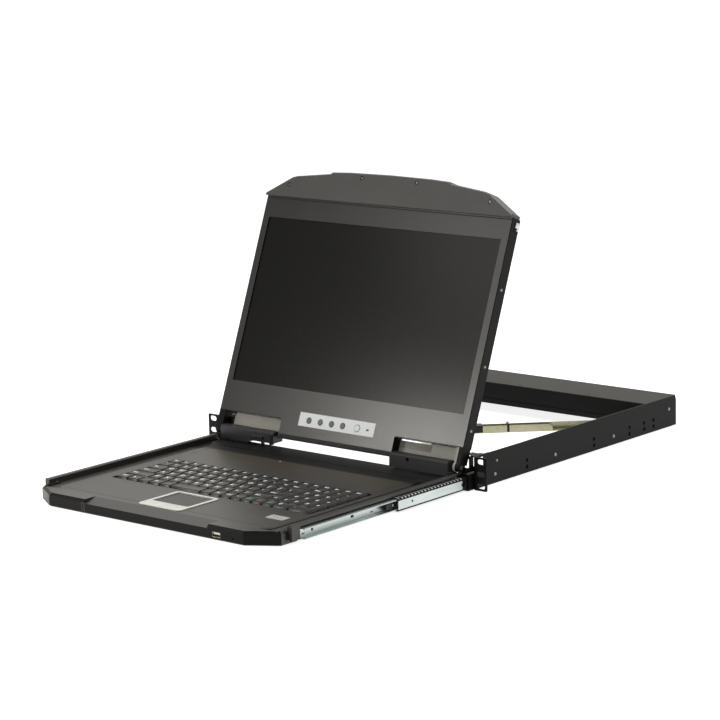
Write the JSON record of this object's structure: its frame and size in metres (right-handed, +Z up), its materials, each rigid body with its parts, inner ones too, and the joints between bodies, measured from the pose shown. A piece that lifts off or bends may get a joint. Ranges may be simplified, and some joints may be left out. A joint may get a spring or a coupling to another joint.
{
  "type": "rackmount console drawer",
  "caption": "Shallow rack drawer on telescopic slides with keyboard, touchpad and a fold-down flat screen lid, pulled out and open.",
  "frame": {"origin": "centre of the rack ears' hole pattern, on the ears' front plane", "axes": "+X across the rack to the right, +Y into the rack, +Z up"},
  "size_m": [0.4826, 0.839, 0.3762],
  "materials": {
    "chassis_paint": "fine-textured black powder coat",
    "steel_screw": "zinc-plated",
    "inlet_plastic": "matt",
    "rocker_plastic": "gloss",
    "port_shell": "nickel plated",
    "slide_black": "black coated",
    "slide_zinc": "bright zinc",
    "cage_steel": "dull",
    "lever_plastic": "matt",
    "tray_steel": "black powder coat",
    "deck_plastic": "fine grained",
    "handle_plastic": "fine grained",
    "key_bed_plastic": "matt",
    "key_plastic": "satin",
    "silver_trim": "silver paint",
    "silver_button": "silver paint",
    "touchpad_surface": "fine matt",
    "smoked_lens": "smoked, translucent",
    "lock_plate_trim": "satin silver",
    "hinge_plastic": "satin",
    "pin_steel": "ground",
    "arm_steel": "yellow-passivated zinc",
    "clip_plastic": "matt",
    "bracket_steel": "black coated",
    "bezel_paint": "satin charcoal",
    "screen_glass": "dark, anti-glare",
    "osd_plate_trim": "silver-white",
    "osd_button_plastic": "satin",
    "power_button_plastic": "silver-white",
    "upper_handle_plastic": "satin",
    "leaf_paint": "satin charcoal"
  },
  "bodies": {
    "chassis": {"side_wall_left": "chassis_paint", "side_wall_right": "chassis_paint", "rear_box_cover": "chassis_paint", "rear_box_base": "chassis_paint", "guide_brackets": "chassis_paint", "chassis_screws": "steel_screw", "power_inlet": "inlet_plastic", "console_port": "port_shell", "slide_outer_left": "slide_black", "slide_outer_right": "slide_black", "arm_bracket_rear": "bracket_steel"},
    "rocker": {"power_rocker": "rocker_plastic"},
    "drawer": {"tray_pan": "tray_steel", "deck": "deck_plastic", "front_handle": "handle_plastic", "usb_port": "port_shell", "key_bed": "key_bed_plastic", "touchpad_frame": "silver_trim", "touchpad": "touchpad_surface", "status_strip": "smoked_lens", "lock_plate": "lock_plate_trim", "hinge_cover_left": "hinge_plastic", "hinge_cover_right": "hinge_plastic", "hinge_pins": "pin_steel", "slide_inner_left": "slide_zinc", "slide_inner_right": "slide_zinc", "arm_bracket_front": "bracket_steel"},
    "lid": {"lcd_bezel": "bezel_paint", "lcd_back_cover": "bezel_paint", "lcd_panel": "screen_glass", "osd_plate": "osd_plate_trim", "upper_handle": "upper_handle_plastic", "lcd_screws": "steel_screw", "hinge_leaves": "leaf_paint"},
    "arm_front": {"arm_link_front": "arm_steel"},
    "arm_rear": {"arm_link_rear": "arm_steel", "arm_clips": "clip_plastic"},
    "power_key": {"power_button": "power_button_plastic"},
    "space": {"space_bar": "key_plastic"},
    "pad_key_left": {"touchpad_button_left": "silver_button"},
    "pad_key_right": {"touchpad_button_right": "silver_button"},
    "middle_left": {"slide_middle_left": "slide_zinc"},
    "ball_cage_outer_left": {"cage_outer_left": "cage_steel"},
    "ball_cage_inner_left": {"cage_inner_left": "cage_steel"},
    "lever_left": {"slide_lever_left": "lever_plastic"},
    "middle_right": {"slide_middle_right": "slide_zinc"},
    "ball_cage_outer_right": {"cage_outer_right": "cage_steel"},
    "ball_cage_inner_right": {"cage_inner_right": "cage_steel"},
    "lever_right": {"slide_lever_right": "lever_plastic"},
    "osd_key_1": {"osd_button_1": "osd_button_plastic"},
    "osd_key_2": {"osd_button_2": "osd_button_plastic"},
    "osd_key_3": {"osd_button_3": "osd_button_plastic"},
    "osd_key_4": {"osd_button_4": "osd_button_plastic"},
    "key_row_1": {"keys_row_1": "key_plastic"},
    "key_row_2": {"keys_row_2": "key_plastic"},
    "key_row_3": {"keys_row_3": "key_plastic"},
    "key_row_4": {"keys_row_4": "key_plastic"},
    "key_row_5": {"keys_row_5": "key_plastic"},
    "key_row_6": {"keys_row_6": "key_plastic"}
  },
  "joints": [
    {"name": "drawer_slide", "type": "slide", "parent": "chassis", "child": "drawer", "axis": [0, 1, 0], "range_m": [0, 0.345]},
    {"name": "middle_left_slide", "type": "slide", "parent": "chassis", "child": "middle_left", "axis": [0, 1, 0], "range_m": [0, 0.1725]},
    {"name": "outer_cage_left_slide", "type": "slide", "parent": "chassis", "child": "ball_cage_outer_left", "axis": [0, 1, 0], "range_m": [0, 0.08625]},
    {"name": "inner_cage_left_slide", "type": "slide", "parent": "chassis", "child": "ball_cage_inner_left", "axis": [0, 1, 0], "range_m": [0, 0.25875]},
    {"name": "middle_right_slide", "type": "slide", "parent": "chassis", "child": "middle_right", "axis": [0, 1, 0], "range_m": [0, 0.1725]},
    {"name": "outer_cage_right_slide", "type": "slide", "parent": "chassis", "child": "ball_cage_outer_right", "axis": [0, 1, 0], "range_m": [0, 0.08625]},
    {"name": "inner_cage_right_slide", "type": "slide", "parent": "chassis", "child": "ball_cage_inner_right", "axis": [0, 1, 0], "range_m": [0, 0.25875]},
    {"name": "arm_front_pivot", "type": "hinge", "parent": "drawer", "child": "arm_front", "pos_m": [0.185, 0, -0.01293], "axis": [0, 0, 1], "range_deg": [0, 41.87]},
    {"name": "arm_rear_pivot", "type": "hinge", "parent": "chassis", "child": "arm_rear", "pos_m": [0.185, 0.36, -0.01132], "axis": [0, 0, 1], "range_deg": [-41.87, 0]},
    {"name": "lid_hinge", "type": "hinge", "parent": "drawer", "child": "lid", "pos_m": [0, -0.012, 0.00847], "axis": [1, 0, 0], "range_deg": [-5, 111.44]},
    {"name": "osd_press_1", "type": "slide", "parent": "lid", "child": "osd_key_1", "axis": [0, 0.9308, -0.3655], "range_m": [0, 0.0006], "stiffness_N_per_m": 600, "springref_m": -0.001},
    {"name": "osd_press_2", "type": "slide", "parent": "lid", "child": "osd_key_2", "axis": [0, 0.9308, -0.3655], "range_m": [0, 0.0006], "stiffness_N_per_m": 600, "springref_m": -0.001},
    {"name": "osd_press_3", "type": "slide", "parent": "lid", "child": "osd_key_3", "axis": [0, 0.9308, -0.3655], "range_m": [0, 0.0006], "stiffness_N_per_m": 600, "springref_m": -0.001},
    {"name": "osd_press_4", "type": "slide", "parent": "lid", "child": "osd_key_4", "axis": [0, 0.9308, -0.3655], "range_m": [0, 0.0006], "stiffness_N_per_m": 600, "springref_m": -0.001},
    {"name": "power_press", "type": "slide", "parent": "lid", "child": "power_key", "axis": [0, 0.9308, -0.3655], "range_m": [0, 0.0006], "stiffness_N_per_m": 600, "springref_m": -0.001},
    {"name": "pad_left_press", "type": "slide", "parent": "drawer", "child": "pad_key_left", "axis": [0, 0, -1], "range_m": [0, 0.0006], "stiffness_N_per_m": 800, "springref_m": -0.001},
    {"name": "pad_right_press", "type": "slide", "parent": "drawer", "child": "pad_key_right", "axis": [0, 0, -1], "range_m": [0, 0.0006], "stiffness_N_per_m": 800, "springref_m": -0.001},
    {"name": "key_row_1_press", "type": "slide", "parent": "drawer", "child": "key_row_1", "axis": [0, 0, -1], "range_m": [0, 0.002], "stiffness_N_per_m": 700, "springref_m": -0.0015},
    {"name": "key_row_2_press", "type": "slide", "parent": "drawer", "child": "key_row_2", "axis": [0, 0, -1], "range_m": [0, 0.002], "stiffness_N_per_m": 700, "springref_m": -0.0015},
    {"name": "key_row_3_press", "type": "slide", "parent": "drawer", "child": "key_row_3", "axis": [0, 0, -1], "range_m": [0, 0.002], "stiffness_N_per_m": 700, "springref_m": -0.0015},
    {"name": "key_row_4_press", "type": "slide", "parent": "drawer", "child": "key_row_4", "axis": [0, 0, -1], "range_m": [0, 0.002], "stiffness_N_per_m": 700, "springref_m": -0.0015},
    {"name": "key_row_5_press", "type": "slide", "parent": "drawer", "child": "key_row_5", "axis": [0, 0, -1], "range_m": [0, 0.002], "stiffness_N_per_m": 700, "springref_m": -0.0015},
    {"name": "key_row_6_press", "type": "slide", "parent": "drawer", "child": "key_row_6", "axis": [0, 0, -1], "range_m": [0, 0.002], "stiffness_N_per_m": 700, "springref_m": -0.0015},
    {"name": "space_press", "type": "slide", "parent": "drawer", "child": "space", "axis": [0, 0, -1], "range_m": [0, 0.002], "stiffness_N_per_m": 300, "springref_m": -0.001},
    {"name": "lever_left_pivot", "type": "hinge", "parent": "drawer", "child": "lever_left", "pos_m": [-0.21, -0.1525, -0.01107], "axis": [1, 0, 0], "range_deg": [-6, 6], "stiffness_Nm_per_rad": 0.05},
    {"name": "lever_right_pivot", "type": "hinge", "parent": "drawer", "child": "lever_right", "pos_m": [0.21, -0.1525, -0.01107], "axis": [1, 0, 0], "range_deg": [-6, 6], "stiffness_Nm_per_rad": 0.05},
    {"name": "rocker_pivot", "type": "hinge", "parent": "chassis", "child": "rocker", "pos_m": [-0.156, 0.457, 0.00617], "axis": [1, 0, 0], "range_deg": [0, 12]}
  ],
  "couplings": [
    {"joint": "middle_left_slide", "follows": "drawer_slide", "ratio": 0.5},
    {"joint": "outer_cage_left_slide", "follows": "drawer_slide", "ratio": 0.25},
    {"joint": "inner_cage_left_slide", "follows": "drawer_slide", "ratio": 0.75},
    {"joint": "middle_right_slide", "follows": "drawer_slide", "ratio": 0.5},
    {"joint": "outer_cage_right_slide", "follows": "drawer_slide", "ratio": 0.25},
    {"joint": "inner_cage_right_slide", "follows": "drawer_slide", "ratio": 0.75},
    {"joint": "arm_front_pivot", "follows": "drawer_slide", "rad_per_m": 2.1175},
    {"joint": "arm_rear_pivot", "follows": "drawer_slide", "rad_per_m": -2.1175}
  ]
}
